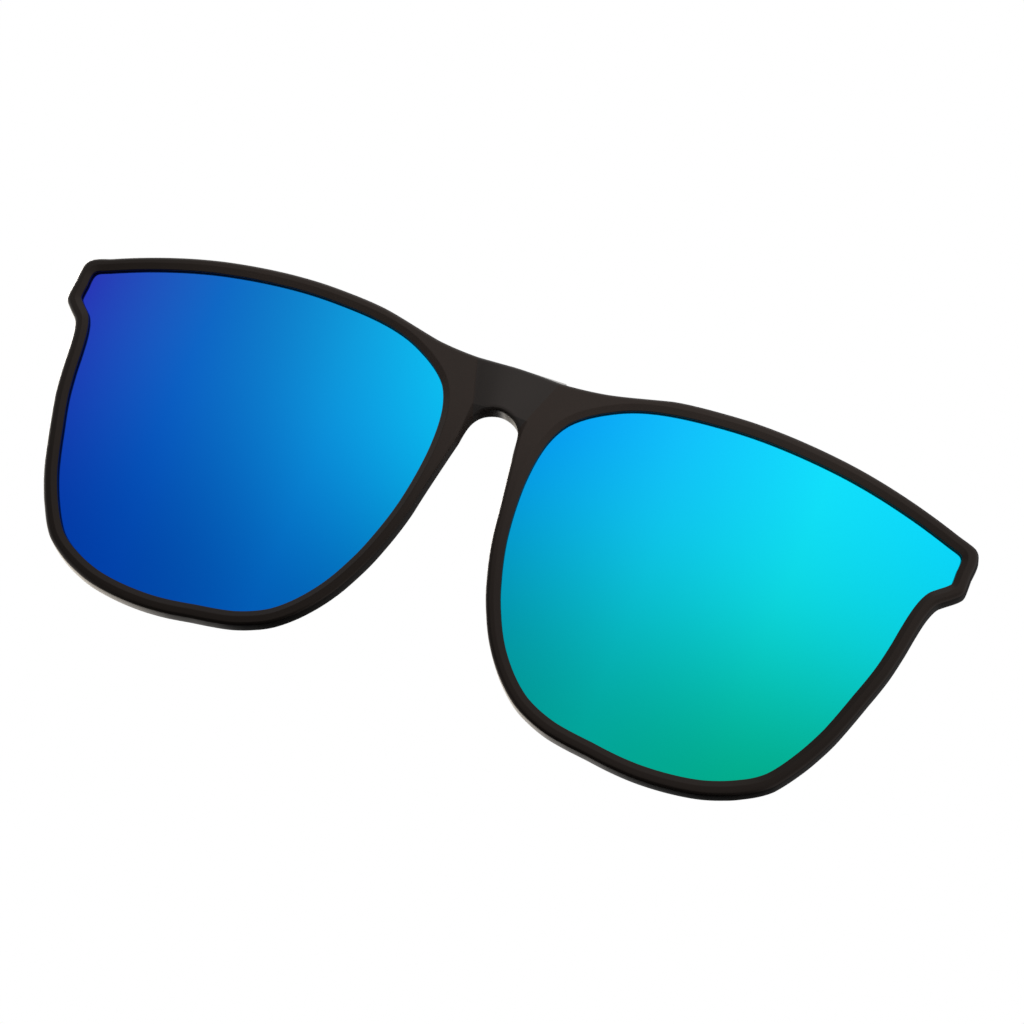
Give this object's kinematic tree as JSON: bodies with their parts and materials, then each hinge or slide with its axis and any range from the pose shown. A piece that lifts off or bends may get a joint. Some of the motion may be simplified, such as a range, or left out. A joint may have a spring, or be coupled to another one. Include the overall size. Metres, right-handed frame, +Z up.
{
  "type": "clip-on flip-up lenses",
  "caption": "Full-size mirrored lens front on a flip hinge, carried by a sprung clamp with sleeved wire arms that grips a pair of glasses.",
  "frame": {"origin": "centre of the closed clamp: midway between its left and right arms, between its front and rear sleeves, at half their height", "axes": "+X to the right of someone looking at the front, +Y from the front towards the wearer's glasses, +Z up"},
  "size_m": [0.143, 0.0153, 0.0574],
  "materials": {
    "satin_nylon": "dark grey-brown satin moulded nylon",
    "mirror_lens_left": "polished polarised film lens with a blue to violet mirror coating",
    "mirror_lens_right": "polished polarised film lens with a blue to green mirror coating",
    "brushed_clip_steel": "brushed grey steel",
    "bright_wire_steel": "bright drawn spring steel",
    "clear_grey_silicone": "soft translucent grey silicone"
  },
  "bodies": {
    "clip": {"clip_body": "brushed_clip_steel", "front_arm_left": "bright_wire_steel", "front_arm_right": "bright_wire_steel", "front_sleeve_left": "clear_grey_silicone", "front_sleeve_right": "clear_grey_silicone", "jaw_pin": "bright_wire_steel", "jaw_pin_ring": "bright_wire_steel", "jaw_spring": "bright_wire_steel"},
    "front": {"front_frame": "satin_nylon", "lens_left": "mirror_lens_left", "lens_right": "mirror_lens_right", "hinge_bracket": "brushed_clip_steel", "detent_spring": "bright_wire_steel", "bracket_screw_left": "bright_wire_steel", "bracket_screw_right": "bright_wire_steel", "flip_pin": "bright_wire_steel", "flip_pin_ring": "bright_wire_steel"},
    "lever": {"jaw_lever": "brushed_clip_steel", "rear_arm_left": "bright_wire_steel", "rear_arm_right": "bright_wire_steel", "rear_sleeve_left": "clear_grey_silicone", "rear_sleeve_right": "clear_grey_silicone", "lever_pad": "clear_grey_silicone"}
  },
  "joints": [
    {"name": "flip_hinge", "type": "hinge", "parent": "clip", "child": "front", "pos_m": [0, -0.0048, 0.0135], "axis": [-1, 0, 0], "range_deg": [0, 90]},
    {"name": "jaw_hinge", "type": "hinge", "parent": "clip", "child": "lever", "pos_m": [0, 0.0016, 0.0159], "axis": [1, 0, 0], "range_deg": [0, 25], "stiffness_Nm_per_rad": 0.046, "springref_deg": -25.21, "deforming": ["jaw_spring"]}
  ]
}
